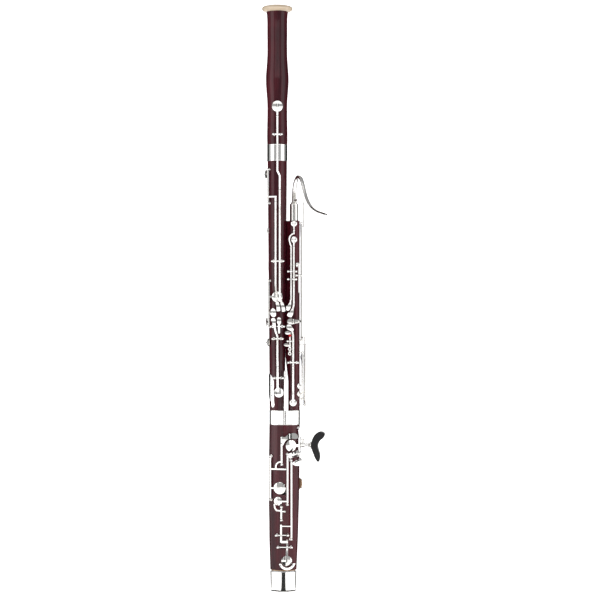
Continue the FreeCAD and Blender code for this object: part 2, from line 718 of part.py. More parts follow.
trill_tubes = wing_side(74)
trill_cups = wing_side(56)
TRILL_HEIGHT = 7.0
key = Key("trill_key", "wing", trill_tubes.at(0, 440, TRILL_HEIGHT),
          trill_tubes.at(0, 546, TRILL_HEIGHT))
key.hang().tube()
for index, level in enumerate((469.5, 451.5)):
    key.cup(f"cup{index}", trill_cups, 0, level, 6.4, seat_depth(13.0, 6.4))
    key.hold_cup(3.4)
key.strut("touch_arm", trill_tubes.at(0, 534, TRILL_HEIGHT), wing_side(118).at(0, 534, 9.6),
          wing_side(90).normal, 3.6)
key.touch("touch", wing_side(118), [(-4, 539), (2, 541.5), (8, 539), (9.5, 534), (8, 529),
                                    (2, 526.5), (-4, 529)], 9.8)
key.finish()

# ================================================================ boot keys, thumb side
boot = Side(0, boot_radius)
BOOT_HINGE = 5.2
key = Key("bb_thumb_key", "boot", boot.at(-3.8, 291.7, BOOT_HINGE), boot.at(-3.8, 352.7, BOOT_HINGE))
key.hang().tube()
key.touch("leaf", boot, [(-4.6, 346), (-3.0, 332), (1.0, 338.5), (6.0, 346.5), (14.0, 350.4),
                         (24.0, 350.6), (31.4, 351.0), (34.4, 356.0), (31.0, 361.2),
                         (22.0, 363.4), (12.0, 361.4), (3.0, 354.4)], 9.6, 2.4, 90)
key.add("leaf_root", rod(boot.at(-3.8, 340, BOOT_HINGE), boot.at(-1.4, 341, 9.6), 2.1))
key.bar("tail", boot, [(-4.6, 298), (-10.6, 297.0), (-14.6, 294.0), (-16.8, 289.4), (-17.2, 281.0)],
        3.2, 3.6, 1.9)
key.finish()

left_boot = boot_side(-36, 260)
key = Key("bb_pad_key", "boot", left_boot.at(0, 210.7, BOOT_HINGE), left_boot.at(0, 310, BOOT_HINGE))
key.hang().tube()
key.strut("link", left_boot.at(0, 281, BOOT_HINGE), boot.at(4.6, 281, 5.6), boot.normal, 4.0)
key.knob("link_end", boot, 4.6, 281, 5.6, 2.6)
key.cup("cup", boot_face(-8.2, 237.5), 0, 237.5, 13.7, 1.8)
key.hold_cup(3.6)
key.finish()

right_boot = boot_side(45, 340)
key = Key("pancake_key", "boot", right_boot.at(0, 311, BOOT_HINGE), right_boot.at(0, 374, BOOT_HINGE))
key.hang().tube()
PANCAKE_OPEN = 11.0
key.cup("cup", boot_face(16.0, 334.3), 0, 334.3, 13.0, 1.7, PANCAKE_OPEN, None, "pancake_pad")
key.hold_cup(6.0)
key.strut("link_foot", right_boot.at(0, 366, BOOT_HINGE), right_boot.at(5.4, 366, BOOT_HINGE + 3.2),
          right_boot.normal, 4.0)
key.add("link_riser", rod(right_boot.at(5.4, 366, BOOT_HINGE + 3.2),
                          right_boot.at(5.4, 407, BOOT_HINGE + 3.2), 1.5))
key.add("link_riser_foot", Part.makeSphere(1.5, right_boot.at(5.4, 366, BOOT_HINGE + 3.2)))
key.add("link_tip", Part.makeSphere(1.9, right_boot.at(5.4, 407, BOOT_HINGE + 3.2)))
key.finish()

key = Key("fs_thumb_key", "boot", boot.at(9.8, 200.4, BOOT_HINGE), boot.at(9.8, 315.5, BOOT_HINGE))
key.hang().tube()
key.touch("touch", boot, [(14.0, 317.5), (20.0, 319.6), (28.0, 322.4), (34.6, 324.8), (37.2, 320.6),
                          (36.6, 316.2), (30.0, 312.2), (22.0, 308.6), (15.0, 306.2),
                          (12.0, 310.4)], 9.0, 2.6, 90)
key.add("touch_root", rod(boot.at(10.2, 309.6, BOOT_HINGE), boot.at(14.6, 311.6, 8.6), 2.2))
key.cup("cup", boot_face(-11.6, 207.7), 0, 207.7, 9.6, 1.2)
key.hold_cup(3.8)
key.finish()

key = Key("fs_link_key", "boot", boot.at(-4.6, 164.9, BOOT_HINGE), boot.at(-4.6, 194.6, BOOT_HINGE))
key.hang().tube()
key.bar("arm", boot, [(-4.6, 186.5), (-15.5, 187.5), (-19.0, 193.0), (-20.4, 201.0)],
        BOOT_HINGE + 1.0, 3.2)
key.bar("tail", boot, [(-4.6, 184.8), (2.0, 184.8)], BOOT_HINGE, 3.4)
key.knob("tail_end", boot, 3.0, 184.8, BOOT_HINGE, 2.7)
key.finish()

key = Key("ab_thumb_key", "boot", boot.at(18.6, 121.4, BOOT_HINGE), boot.at(18.6, 300.6, BOOT_HINGE))
key.hang().tube()
key.touch("touch", boot, [(21.0, 296.5), (27.0, 300.0), (34.0, 304.2), (40.2, 307.6), (42.2, 301.0),
                          (40.6, 294.0), (35.0, 289.4), (28.0, 289.6), (22.4, 292.2)], 9.0, 2.6, 90)
key.add("touch_root", rod(boot.at(18.8, 293.6, BOOT_HINGE), boot.at(23.4, 295.0, 8.6), 2.2))
key.strut("tail", boot.at(18.6, 151.1, BOOT_HINGE), boot.at(-5.0, 151.1, 3.9), boot.normal, 3.0, 1.9)
key.finish()

key = Key("ab_link_lever", "boot", boot.at(-16.6, 130.5, 6.4), boot.at(10.8, 130.5, 6.4))
key.hang().tube()
key.bar("bar", boot, [(-5.0, 153.5), (-5.0, 116.0)], 6.4, 4.0)
key.bar("bridge", boot, [(-2.6, 115.6), (7.6, 115.6)], 6.7, 6.0, 2.8)
key.finish()

key = Key("ab_pad_key", "boot", boot.at(-12.8, 103.0, 4.4), boot.at(19.4, 103.0, 4.4))
key.hang().tube()
key.strut("bar", boot.at(8.7, 119.6, 4.1), boot.at(8.7, 104.0, 2.6), boot.normal, 3.6, 2.0)
key.strut("arm", boot.at(8.7, 104.5, 4.4), boot_face(7.4, 71.0).at(0, 70.0, 3.3), boot.normal, 4.2)
key.cup("cup", boot_face(7.4, 71.0), 0, 71.0, 12.2, 1.7)
key.finish()

# ================================================================ boot keys, finger side
fingers = Side(0, boot_radius, 180)
right_back = boot_side(112, 250)
key = Key("low_f_key", "boot", fingers.at(-15.0, 150, BOOT_HINGE), fingers.at(-15.0, 268, BOOT_HINGE))
key.hang().tube()
key.cup("cup", right_back, 0, 245.5, 12.8, 4.8, 11.5, None, "low_f_pad")
key.hold_cup(5.0)
key.touch("touch", fingers, [(-17, 176), (-21, 180), (-28, 179), (-32, 173), (-31, 165), (-26, 160),
                             (-20, 160.5), (-17, 166)], 8.4, 2.4, 60)
key.strut("touch_arm", fingers.at(-15.0, 170, BOOT_HINGE), fingers.at(-20, 170, 7.8),
          fingers.normal, 5.0)
key.finish()

key = Key("g_key", "boot", fingers.at(19.0, 205, BOOT_HINGE), fingers.at(19.0, 275, BOOT_HINGE))
key.hang().tube()
key.cup("cup", boot_face(-2.0, 228.0, True), 0, 228.0, 12.0, 1.5, 9.0)
key.hold_cup(4.6)
key.touch("touch", fingers, [(-4, 262), (0, 267), (6, 268), (10, 263), (9.5, 256), (4, 252),
                             (-2, 254)], 8.2)
key.strut("touch_arm", fingers.at(19.0, 260, BOOT_HINGE), fingers.at(8, 260, 7.8),
          fingers.normal, 4.0)
key.finish()

# ================================================================ the four joints
outline = [(1325.0, 24.6), (1316.0, 23.6), (1290.0, 23.0), (1250.0, 22.7), (1212.0, 23.6),
           (1172.0, 26.2), (1145.0, 25.0), (1122.0, 23.2), (1095.0, 22.7), (1065.0, 23.2),
           (1043.0, BELL_RADIUS), (1021.3, 23.2)]
ferrule_seat = size("ferrule_radius") - size("plate_wall")
bell_skin = curve([Vector(r, 0, z) for z, r in outline])
bell_corners = [Vector(23.2, 0, 1021.3), Vector(ferrule_seat, 0, 1021.3),
                Vector(ferrule_seat, 0, 983.5), Vector(0, 0, 983.5), Vector(0, 0, 1335.4),
                Vector(size("ring_seat"), 0, 1335.4), Vector(size("ring_seat"), 0, 1325.0),
                Vector(24.6, 0, 1325.0)]
bell_profile = Part.Face(Part.Wire(Part.__sortEdges__(
    [bell_skin] + [Part.makeLine(a, b) for a, b in zip(bell_corners, bell_corners[1:])])))
bell_blank = feature("bell_blank", bell_profile.revolve(Vector(), UP, 360))
bell_blank.Placement = Placement(Vector(BASS_X, 0, 0), Rotation())
MOUTH_LOW = size("bell_top") - size("mouth_depth")
node("bell_joint", cut("bell_joint", bell_blank, [
    cylinder("bell_socket", "sizes.bell_tenon + sizes.wrap + sizes.fit_gap",
             "sizes.ferrule_high - sizes.ferrule_low - 1", Vector(BASS_X, 0, 983.5)),
    cylinder("bell_throat", "sizes.bass_high_bore", 130, Vector(BASS_X, 0, 1015)),
    cone("bell_flare", "sizes.bass_high_bore", "sizes.mouth_bore", MOUTH_LOW - 1145,
         Vector(BASS_X, 0, 1145)),
    cylinder("bell_mouth", "sizes.mouth_bore", "sizes.mouth_depth", Vector(BASS_X, 0, MOUTH_LOW)),
] + seat_tools("bell", "bell")))

RING_TALL = size("bell_top") - size("ring_low")
lip = RING_TALL - size("ring_lip")
ring_profile = turned([(size("ring_seat") + GAP, lip), (size("ring_seat") + GAP, 0.05),
                       (size("ring_radius") - 8.5, 0.05), (size("ring_radius") - 5.0, 1.6),
                       (size("ring_radius") - 1.6, 4.2), (size("ring_radius"), 7.4),
                       (size("ring_radius") - 1.4, 10.6), (size("ring_radius") - 5.0, 12.7),
                       (size("ring_radius") - 9.0, RING_TALL), (size("mouth_bore"), RING_TALL),
                       (size("mouth_bore"), lip)])
ring = feature("bell_ring", moved(ring_profile, Vector(BASS_X, 0, size("ring_low")), UP))
ring_edges = [index + 1 for index, e in enumerate(ring.Shape.Edges)
              if e.Closed and 0.5 < e.BoundBox.ZMin - size("ring_low") < 13.2
              and e.BoundBox.XMax - BASS_X > size("ring_radius") - 7]
ring_round = doc.addObject("Part::Fillet", "ring_round")
ring_round.Base = ring
ring_round.Edges = [(index, 2.2, 2.2) for index in ring_edges]
node("bell_ring", ring_round)

node("bell_ferrule", cut("bell_ferrule",
     cylinder("ferrule_outer", "sizes.ferrule_radius", "sizes.ferrule_high - sizes.ferrule_low",
              Vector(BASS_X, 0, 983.5)),
     [cylinder("ferrule_inner", "sizes.ferrule_radius - sizes.plate_wall + 0.02", 60,
               Vector(BASS_X, 0, 975))]))

BAND = size("band_top")
TENON_FOOT = BAND - size("tenon_depth")
BASS_TOP = 1019.0
bass_wood = fuse("bass_wood", [
    cone("bass_body", "sizes.bass_low_radius", "sizes.bass_high_radius",
         "sizes.ferrule_low - sizes.band_top - 0.1", Vector(BASS_X, 0, BAND + 0.05)),
    cylinder("bass_foot", "sizes.bass_tenon", "sizes.tenon_depth + 2", Vector(BASS_X, 0, TENON_FOOT)),
    cylinder("bass_head", "sizes.bell_tenon", 40, Vector(BASS_X, 0, BASS_TOP - 40)),
])
wrap_tools = []
for tag, x, tenon, low, high in (("bass_low", BASS_X, "bass_tenon", TENON_FOOT + 4, BAND - 5),
                                 ("bass_high", BASS_X, "bell_tenon", 988.0, 1014.0),
                                 ("wing_low", WING_X, "wing_tenon", TENON_FOOT + 4, BAND - 5)):
    wrap_tools.append(feature(f"{tag}_groove", Part.makeCylinder(
        size(tenon) + 2, high - low, Vector(x, 0, low)).cut(Part.makeCylinder(
            size(tenon) - 0.6, high - low, Vector(x, 0, low)))))
node("bass_joint", cut("bass_joint", bass_wood, [
    cone("bass_bore", "sizes.bass_low_bore", "sizes.bass_high_bore", BASS_TOP - TENON_FOOT + 2,
         Vector(BASS_X, 0, TENON_FOOT - 1)), wrap_tools[0], wrap_tools[1],
] + seat_tools("bass", "bass")))

group("tenon_wraps", [
    Part.makeCylinder(size(tenon) + size("wrap"), high - low - 0.1, Vector(x, 0, low + 0.05)).cut(
        Part.makeCylinder(size(tenon) - 0.6 + 0.02, high - low, Vector(x, 0, low)))
    for x, tenon, low, high in ((BASS_X, "bass_tenon", TENON_FOOT + 4, BAND - 5),
                                (BASS_X, "bell_tenon", 988.0, 1014.0),
                                (WING_X, "wing_tenon", TENON_FOOT + 4, BAND - 5))])

LOBE = (size("wing_lobe_x"), size("wing_lobe_y"))
ALMOST = (WING_X - 0.4, 0.35)
WING_R = size("wing_radius")
wing_body = Part.makeLoft([stadium(LOBE, (WING_X, 0), WING_R, z) for z in (size("wing_top"), 575)]
                          + [stadium(ALMOST, (WING_X, 0), WING_R, z) for z in (480, BAND + 0.05)],
                          True, True)
SPIGOT = 8.8
wing_wood = fuse("wing_wood", [
    feature("wing_body", wing_body),
    cylinder("wing_spigot", SPIGOT, "sizes.socket_top - sizes.wing_top - 1.5 + 5",
             Vector(WING_X, 0, size("wing_top") - 5)),
    cylinder("wing_foot", "sizes.wing_tenon", "sizes.tenon_depth + 2",
             Vector(WING_X, 0, TENON_FOOT)),
])
finger_holes = [(14.0, 690.0, 3.2), (14.0, 646.0, 3.0), (15.5, 600.0, 3.4)]
hole_tools, hole_tubes = [], []
for index, (x, z, hole) in enumerate(finger_holes):
    mouth, root = Vector(x, 24.0, z), Vector(WING_X, 0, z - 14)
    way = (root - mouth).normalize()
    hole_tools.append(feature(f"finger_hole{index}", rod(mouth - way * 8, mouth + way * 18.5, hole + 1)))
    hole_tools.append(feature(f"finger_drill{index}", rod(mouth + way * 18, root, hole)))
    liner = rod(mouth - way * 1.6, mouth + way * 18.3, hole + 0.95).cut(
        rod(mouth - way * 3, mouth + way * 20, hole))
    hole_tubes.append(liner)
nest = cone("wing_nest", "sizes.bass_low_radius + 0.8", "sizes.bass_high_radius + 0.8",
            "sizes.ferrule_low - sizes.band_top", Vector(BASS_X, 0, BAND))
node("wing_joint", cut("wing_joint", wing_wood, [
    cone("wing_bore", "sizes.wing_low_bore", "sizes.wing_high_bore", 852 - TENON_FOOT,
         Vector(WING_X, 0, TENON_FOOT - 1)),
    cylinder("wing_socket", "sizes.socket_bore", 60, Vector(WING_X, 0, 850.5)),
    nest, wrap_tools[2],
] + hole_tools + seat_tools("wing", "wing")))

node("wing_top_band", cut("wing_top_band",
     cylinder("band_outer", SPIGOT + size("plate_wall"), "sizes.socket_top - sizes.wing_top",
              Vector(WING_X, 0, size("wing_top") + GAP)),
     [cylinder("band_inner", SPIGOT + 0.03, "sizes.socket_top - sizes.wing_top - 1.4",
               Vector(WING_X, 0, size("wing_top") - 0.1)),
      cylinder("band_mouth", "sizes.socket_bore + 0.1", 60, Vector(WING_X, 0, 850))]))

BOOT_FOOT = 50.0
boot_wires = [boot_oval(z).wire(z) for z in (381.3, 300.0, 210.0, 120.0, 45.9)]
neck = boot_oval(BAND)
boot_upper = Part.makeLoft([neck.wire(381.2, -1.2), neck.wire(BAND - 1.3, -1.2)], True, True)
boot_wood = fuse("boot_wood", [feature("boot_body", Part.makeLoft(boot_wires, True, True)),
                               feature("boot_neck", boot_upper)])


def slant(name, low_x, low_z, low_r, high_x, high_z, high_r):
    """A tapered bore between two levels of the boot."""
    low, high = Vector(low_x, 0, low_z), Vector(high_x, 0, high_z)
    return cone(name, low_r, high_r, (high - low).Length, low, high - low)


BOW = size("bow_half_span")
SOCKET_FOOT = TENON_FOOT - 1
boot_holes = []
for index, (x, z, hole) in enumerate(((4.0, 352.0, 4.2), (2.0, 306.0, 3.8))):
    mouth, root = Vector(x, 22.0, z), Vector(18.0, 0, z - 6)
    way = (root - mouth).normalize()
    boot_holes.append(feature(f"boot_hole{index}", rod(mouth - way * 8, mouth + way * 12.5, hole + 1)))
    boot_holes.append(feature(f"boot_drill{index}", rod(mouth + way * 12, root, hole)))
    hole_tubes.append(rod(mouth - way * 1.6, mouth + way * 12.3, hole + 0.95).cut(
        rod(mouth - way * 3, mouth + way * 14, hole)))
node("boot_joint", cut("boot_joint", boot_wood, [
    cylinder("bass_socket", "sizes.bass_tenon + sizes.wrap + sizes.fit_gap", 60,
             Vector(BASS_X, 0, SOCKET_FOOT)),
    cylinder("wing_socket2", "sizes.wing_tenon + sizes.wrap + sizes.fit_gap", 60,
             Vector(WING_X, 0, SOCKET_FOOT)),
    slant("rising_bore", -BOW, 40, 9.5, BASS_X, SOCKET_FOOT + 1, 11.5),
    slant("falling_bore", BOW, 40, 9.3, WING_X, SOCKET_FOOT + 1, 6.8),
    feature("boot_foot_cut", Part.makeBox(90, 60, 4.2, Vector(-45, -30, 45.8))),
] + boot_holes + seat_tools("boot", "boot")))
group("finger_hole_tubes", hole_tubes)

band_shell = Part.Face(neck.wire(381.35, 0.1)).extrude(UP * (BAND - 381.35))
band_shell = band_shell.cut(Part.Face(neck.wire(370, -1.15)).extrude(UP * (BAND - 371.25)))
node("boot_top_band", cut("boot_top_band", feature("band_shell", band_shell), [
    cylinder("bass_way", "sizes.bass_tenon + sizes.wrap + sizes.fit_gap", 60, Vector(BASS_X, 0, 370)),
    cylinder("wing_way", "sizes.wing_tenon + sizes.wrap + sizes.fit_gap", 60, Vector(WING_X, 0, 370)),
]))

cap_foot, cap_rim = Oval(-28.5, 28.5, 19.2), Oval(-30.0, 30.0, 20.0)
cap_block = Part.makeLoft([cap_foot.wire(0), cap_rim.wire(45.8, 0.1)], True, True)
cap_hollow = Part.makeLoft([cap_foot.wire(size("cap_floor"), -1.2), cap_rim.wire(50, -1.1)], True, True)
cap = feature("cap_block", cap_block)
foot_edges = [index + 1 for index, e in enumerate(cap.Shape.Edges) if e.BoundBox.ZMax < 0.1]
cap_round = doc.addObject("Part::Fillet", "cap_round")
cap_round.Base = cap
cap_round.Edges = [(index, 4.0, 4.0) for index in foot_edges]
node("boot_cap", cut("boot_cap", cap_round, [feature("cap_hollow", cap_hollow)]))

# The end bow inside the cap, its flange, and the cork gasket that seals it to the wood.
bow_foot, bow_mouth = [Part.Face(Part.Wire([Part.makeCircle(size(name), Vector(BOW, 0, 45.0), UP)]))
                       for name in ("bow_radius", "bow_bore")]
half_ring, half_hole = [face.revolve(Vector(0, 0, 45.0), Vector(0, 1, 0), 180)
                        for face in (bow_foot, bow_mouth)]
flange = Part.Face(cap_rim.wire(45.0, -2.7)).extrude(UP * 2.4)
bow = half_ring.fuse(flange)
ways = [Part.makeCylinder(size("bow_bore"), 12, Vector(side * BOW, 0, 45.0)) for side in (-1, 1)]
node("end_bow", feature("end_bow", bow.cut([half_hole] + ways)))
gasket = Part.Face(cap_rim.wire(47.5, -2.7)).extrude(UP * (size("gasket") + 0.05))
node("bow_gasket", feature("bow_gasket", gasket.cut(ways)))

# ================================================================ bocal
BOCAL_AZIMUTH = math.radians(62)


def bocal_point(reach, z):
    """A point of the crook's flat curve, which swings out to the right and to the player."""
    return Vector(WING_X + reach * math.cos(BOCAL_AZIMUTH), -reach * math.sin(BOCAL_AZIMUTH), z)


BOCAL_FOOT = 853.0
crook = [(0, 886), (0.4, 904), (2.6, 922), (9.0, 938), (20.0, 946.5), (32.0, 943), (42.5, 929),
         (51.0, 912), (61.0, 895.5), (76.0, 880.5), (96.0, 869.5), (118.0, 862.5), (140.0, 858.0)]
spine = Part.BSplineCurve()
spine.interpolate(Points=[bocal_point(reach, z) for reach, z in crook],
                  InitialTangent=UP, FinalTangent=(bocal_point(*crook[-1]) - bocal_point(*crook[-2])))
TIP_RADIUS, ROOT_RADIUS, SHEET = 2.6, 5.2, 0.55


def crook_solid(root_radius, tip_radius):
    shell = Part.BRepOffsetAPI.MakePipeShell(Part.Wire([spine.toShape()]))
    for place, radius in ((spine.FirstParameter, root_radius), (spine.LastParameter, tip_radius)):
        shell.add(Part.Wire([Part.makeCircle(radius, spine.value(place), spine.tangent(place)[0])]))
    shell.build()
    shell.makeSolid()
    return shell.shape()


tip_way = spine.tangent(spine.LastParameter)[0]
tip_start = spine.value(spine.LastParameter)
tip = tip_start + tip_way * 14
socket_eye = Vector(WING_X, 0, 886)
outer = crook_solid(ROOT_RADIUS, TIP_RADIUS).fuse([
    rod(Vector(WING_X, 0, BOCAL_FOOT), socket_eye, ROOT_RADIUS),
    Part.makeCylinder(6.9, 3.0, Vector(WING_X, 0, 886.2)),
    rod(tip_start, tip, TIP_RADIUS),
    Part.makeCone(2.6, 1.5, 9.6 - 4.0, Vector(WING_X, 0, 894) + NIB * 4.0, NIB),
])
inner = [crook_solid(ROOT_RADIUS - SHEET, TIP_RADIUS - SHEET),
         rod(Vector(WING_X, 0, BOCAL_FOOT - 1), socket_eye, ROOT_RADIUS - SHEET),
         rod(tip_start, tip + tip_way, TIP_RADIUS - SHEET),
         rod(Vector(WING_X, 0, 894), Vector(WING_X, 0, 894) + NIB * 12, 0.5)]
bocal = outer
for tool in inner:
    bocal = bocal.cut(tool)
node("bocal", feature("bocal", bocal))
node("bocal_cork", cut("bocal_cork",
     cylinder("cork_outer", "sizes.socket_bore - 0.05", 30, Vector(WING_X, 0, BOCAL_FOOT + 2)),
     [cylinder("cork_inner", ROOT_RADIUS + 0.02, 40, Vector(WING_X, 0, BOCAL_FOOT))]))

# ================================================================ hand rest
rest_side = boot_side(84, 334)
REST_Z = 334.3
plate_out = rest_side.at(0, REST_Z, 0)
plate_foot = rest_side.axis + UP * 300
plate_shell = Part.makeCylinder(rest_side.radius(334) + 2.1, 60, plate_foot).cut(
    Part.makeCylinder(rest_side.radius(334) + 0.3, 60, plate_foot))
plate_outline = [rest_side.at(u, z, -9) for u, z in
                 ((0, 355), (6.5, 350), (9, 340), (9, 328), (6.5, 318), (0, 313.5), (-6.5, 318),
                  (-9, 328), (-9, 340), (-6.5, 350))]
plate_prism = Part.Face(Part.Wire([curve(plate_outline, True)])).extrude(rest_side.out * 30)
socket_end = rest_side.at(0, REST_Z, 11.5)
POST_R = size("crutch_radius")
socket = rod(rest_side.at(0, REST_Z, 1.4), socket_end, 6.2)
plate = plate_shell.common(plate_prism).fuse(socket).cut(
    [rod(rest_side.at(0, REST_Z, 2.4), rest_side.at(0, REST_Z, 40), POST_R + GAP),
     rod(rest_side.at(0, REST_Z, 7.0), rest_side.at(0, REST_Z + 16, 7.0), 1.55)])
node("hand_rest_plate", feature("hand_rest_plate", plate))

post_tip = rest_side.at(0, REST_Z, 27.0)
crutch_post = rod(rest_side.at(0, REST_Z, 3.0), post_tip, POST_R).fuse([
    Part.makeCone(4.4, 7.2, 4.0, rest_side.at(0, REST_Z, 20.5), rest_side.out),
    Part.makeCylinder(7.2, 2.4, rest_side.at(0, REST_Z, 24.5), rest_side.out)])
node("crutch_post", feature("crutch_post", crutch_post))

# The saddle that the hand hangs on: a crescent that is hollow towards the hand.
crutch_outline = [rest_side.at(0, REST_Z + up, 0) + rest_side.out * away for away, up in
                  ((26.6, 3.0), (30.6, 16.0), (38.6, 27.0), (49.0, 31.2), (57.0, 27.4),
                   (55.6, 18.4), (46.4, 9.4), (42.2, -2.0), (44.2, -13.0), (46.6, -24.0),
                   (43.0, -37.6), (38.6, -33.0), (31.4, -16.6), (27.0, -5.0))]
thick_way = rest_side.across
crutch_wire = Part.Wire([curve(crutch_outline, True)])
crutch_block = Part.Face(crutch_wire).extrude(thick_way * 22)
crutch_block.translate(thick_way * -11)
crutch_edges = [e for e in crutch_block.Edges
                if abs(e.tangentAt((e.FirstParameter + e.LastParameter) / 2).dot(thick_way)) < 0.5]
crutch = softened(crutch_block, crutch_edges, 4.2)
crutch = crutch.cut(rod(rest_side.at(0, REST_Z, 20), rest_side.at(0, REST_Z, 27.05), 7.25))
node("crutch", feature("crutch", crutch))

screw_base = rest_side.at(0, REST_Z + POST_R + 0.2, 7.0)
screw = rod(screw_base, rest_side.at(0, REST_Z + 12.0, 7.0), 1.5).fuse([
    Part.makeCone(2.0, 3.2, 1.4, rest_side.at(0, REST_Z + 8.0, 7.0), UP),
    Part.makeCylinder(3.2, 5.0, rest_side.at(0, REST_Z + 9.4, 7.0), UP)])
node("crutch_screw", feature("crutch_screw", screw))

# ================================================================ small fixed fittings
lock_x = 3.6
lock_rod = rod(Vector(lock_x, -20.0, BAND + 0.3), Vector(lock_x, -20.0, 503), 2.4).fuse(
    [Part.makeSphere(2.4, Vector(lock_x, -20.0, 503)),
     Part.makeCylinder(3.1, 4.0, Vector(lock_x, -20.0, BAND + 6))])
node("lock_rod", feature("lock_rod", lock_rod))

plate_side = bass_side(-52)
hand_skin = Part.makeCone(bass_radius(400) + 1.6, bass_radius(510) + 1.6, 110, Vector(BASS_X, 0, 400))
hand_skin = hand_skin.cut(Part.makeCone(bass_radius(400) + 0.06, bass_radius(510) + 0.06, 110,
                                        Vector(BASS_X, 0, 400)))
hand_outline = [plate_side.at(u, z, -12) for u, z in
                ((-7, 497), (0, 496), (6, 489), (8.2, 476), (8.4, 462), (8.6, 448), (8.2, 438),
                 (9.0, 430), (6.6, 421), (3.4, 424), (3.0, 433), (-2.0, 437), (-8.0, 448),
                 (-11.5, 462), (-12.5, 478), (-11.5, 491))]
hand_prism = Part.Face(Part.Wire([curve(hand_outline, True)])).extrude(plate_side.out * 30)
node("hand_plate", feature("hand_plate", hand_skin.common(hand_prism)))

guard_side = boot_face(7.4, 71.0)
guard_outline = Part.makeCylinder(19.4, 1.6, guard_side.at(0, 71.0, 6.4), guard_side.normal)
guard = guard_outline.cut([
    Part.makeCylinder(14.2, 12, guard_side.at(0, 71.0, 0), guard_side.normal),
    Part.makeBox(60, 40, 60, Vector(-22.6, -50, 66.5))])
guard_feet = []
for turn in (-62, 0, 62):
    across, down = 16.6 * math.sin(math.radians(turn)), 16.6 * math.cos(math.radians(turn))
    guard_feet.append(rod(guard_side.at(across, 71.0 - down, -8),
                          guard_side.at(across, 71.0 - down, 6.8), 1.8))
guard = guard.fuse(guard_feet).cut(Part.makeLoft(
    [boot_oval(z).wire(z, 0.06) for z in (120.0, 40.0)], True, True))
node("pad_guard", feature("pad_guard", guard))

strap_side = Side(0, lambda z: 22.1, 180)
ring_centre = strap_side.at(-2.0, 397.5, 9.0)
RIGHT = Vector(1, 0, 0)
strap = Part.makeCylinder(size("strap_hole") + 2.2, size("strap_ring_thick"),
                          ring_centre - RIGHT * size("strap_ring_thick") / 2, RIGHT).fuse(
    [Part.makeCylinder(4.0, 1.2, strap_side.at(-2.0, 397.5, 0.12), strap_side.out),
     Part.makeCylinder(1.9, 3.4, strap_side.at(-2.0, 397.5, 0.12), strap_side.out)])
strap = strap.cut(Part.makeCylinder(size("strap_hole"), 12, ring_centre - RIGHT * 6, RIGHT))
node("strap_ring", feature("strap_ring", strap))

group("key_posts", posts)
group("hinge_rods", rods)

# ================================================================ checks and export
doc.recompute()
problems = [o.Name for o in doc.Objects if {"Invalid", "Error"} & set(o.State)]
for name, thing in nodes.items():
    shape = thing.Shape
    if shape.isNull() or not shape.isValid() or not shape.Solids:
        problems.append(name)
if problems:
    raise RuntimeError(f"these objects failed: {problems}")
os.makedirs("parts", exist_ok=True)
for old in os.listdir("parts"):
    if old.endswith(".step") and old[:-5] not in nodes:
        os.remove(os.path.join("parts", old))
for name, thing in nodes.items():
    thing.Shape.exportStep(os.path.join("parts", name + ".step"))
    print(f"{name:20s} solids {len(thing.Shape.Solids):3d} volume {thing.Shape.Volume:10.1f}")
print(len(nodes), "nodes;", len(posts), "posts;", len(rods), "rods")
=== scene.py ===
import math
import bmesh
import bpy
from mathutils import Matrix, Vector
from mathutils.bvhtree import BVHTree


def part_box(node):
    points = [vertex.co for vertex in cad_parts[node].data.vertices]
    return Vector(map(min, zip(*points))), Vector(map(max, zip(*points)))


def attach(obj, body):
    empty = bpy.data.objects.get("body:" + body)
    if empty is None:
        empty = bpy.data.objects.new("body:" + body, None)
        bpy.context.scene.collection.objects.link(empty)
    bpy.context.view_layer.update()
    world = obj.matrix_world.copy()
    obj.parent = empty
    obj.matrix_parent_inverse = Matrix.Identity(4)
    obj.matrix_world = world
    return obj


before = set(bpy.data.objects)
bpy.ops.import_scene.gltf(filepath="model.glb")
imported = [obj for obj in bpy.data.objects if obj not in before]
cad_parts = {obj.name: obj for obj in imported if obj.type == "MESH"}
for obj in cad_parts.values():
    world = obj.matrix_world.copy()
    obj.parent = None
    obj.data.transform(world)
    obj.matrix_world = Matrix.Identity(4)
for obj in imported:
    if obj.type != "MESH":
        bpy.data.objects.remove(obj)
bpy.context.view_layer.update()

# ---------------------------------------------------------------- the wooden joints
# Bell, bass, wing and boot joints are turned from maple, stained a very dark red and
# flatted back under many coats of clear gloss lacquer. The fine silky grain runs up the
# instrument and a faint cross figure shows through the stain.


class Flow:
    """A shader socket that can be used in sums; each sum adds its Math node."""

    def __init__(self, finish, socket):
        self.finish = finish
        self.socket = socket

    def math(self, operation, *others):
        values = {place: other for place, other in enumerate((self,) + others)}
        return self.finish.node("ShaderNodeMath", {"operation": operation}, values)

    def __add__(self, other):
        return self.math("ADD", other)

    def __sub__(self, other):
        return self.math("SUBTRACT", other)

    def __rsub__(self, other):
        return (self * -1.0) + other

    def __mul__(self, other):
        return self.math("MULTIPLY", other)

    __radd__, __rmul__ = __add__, __mul__


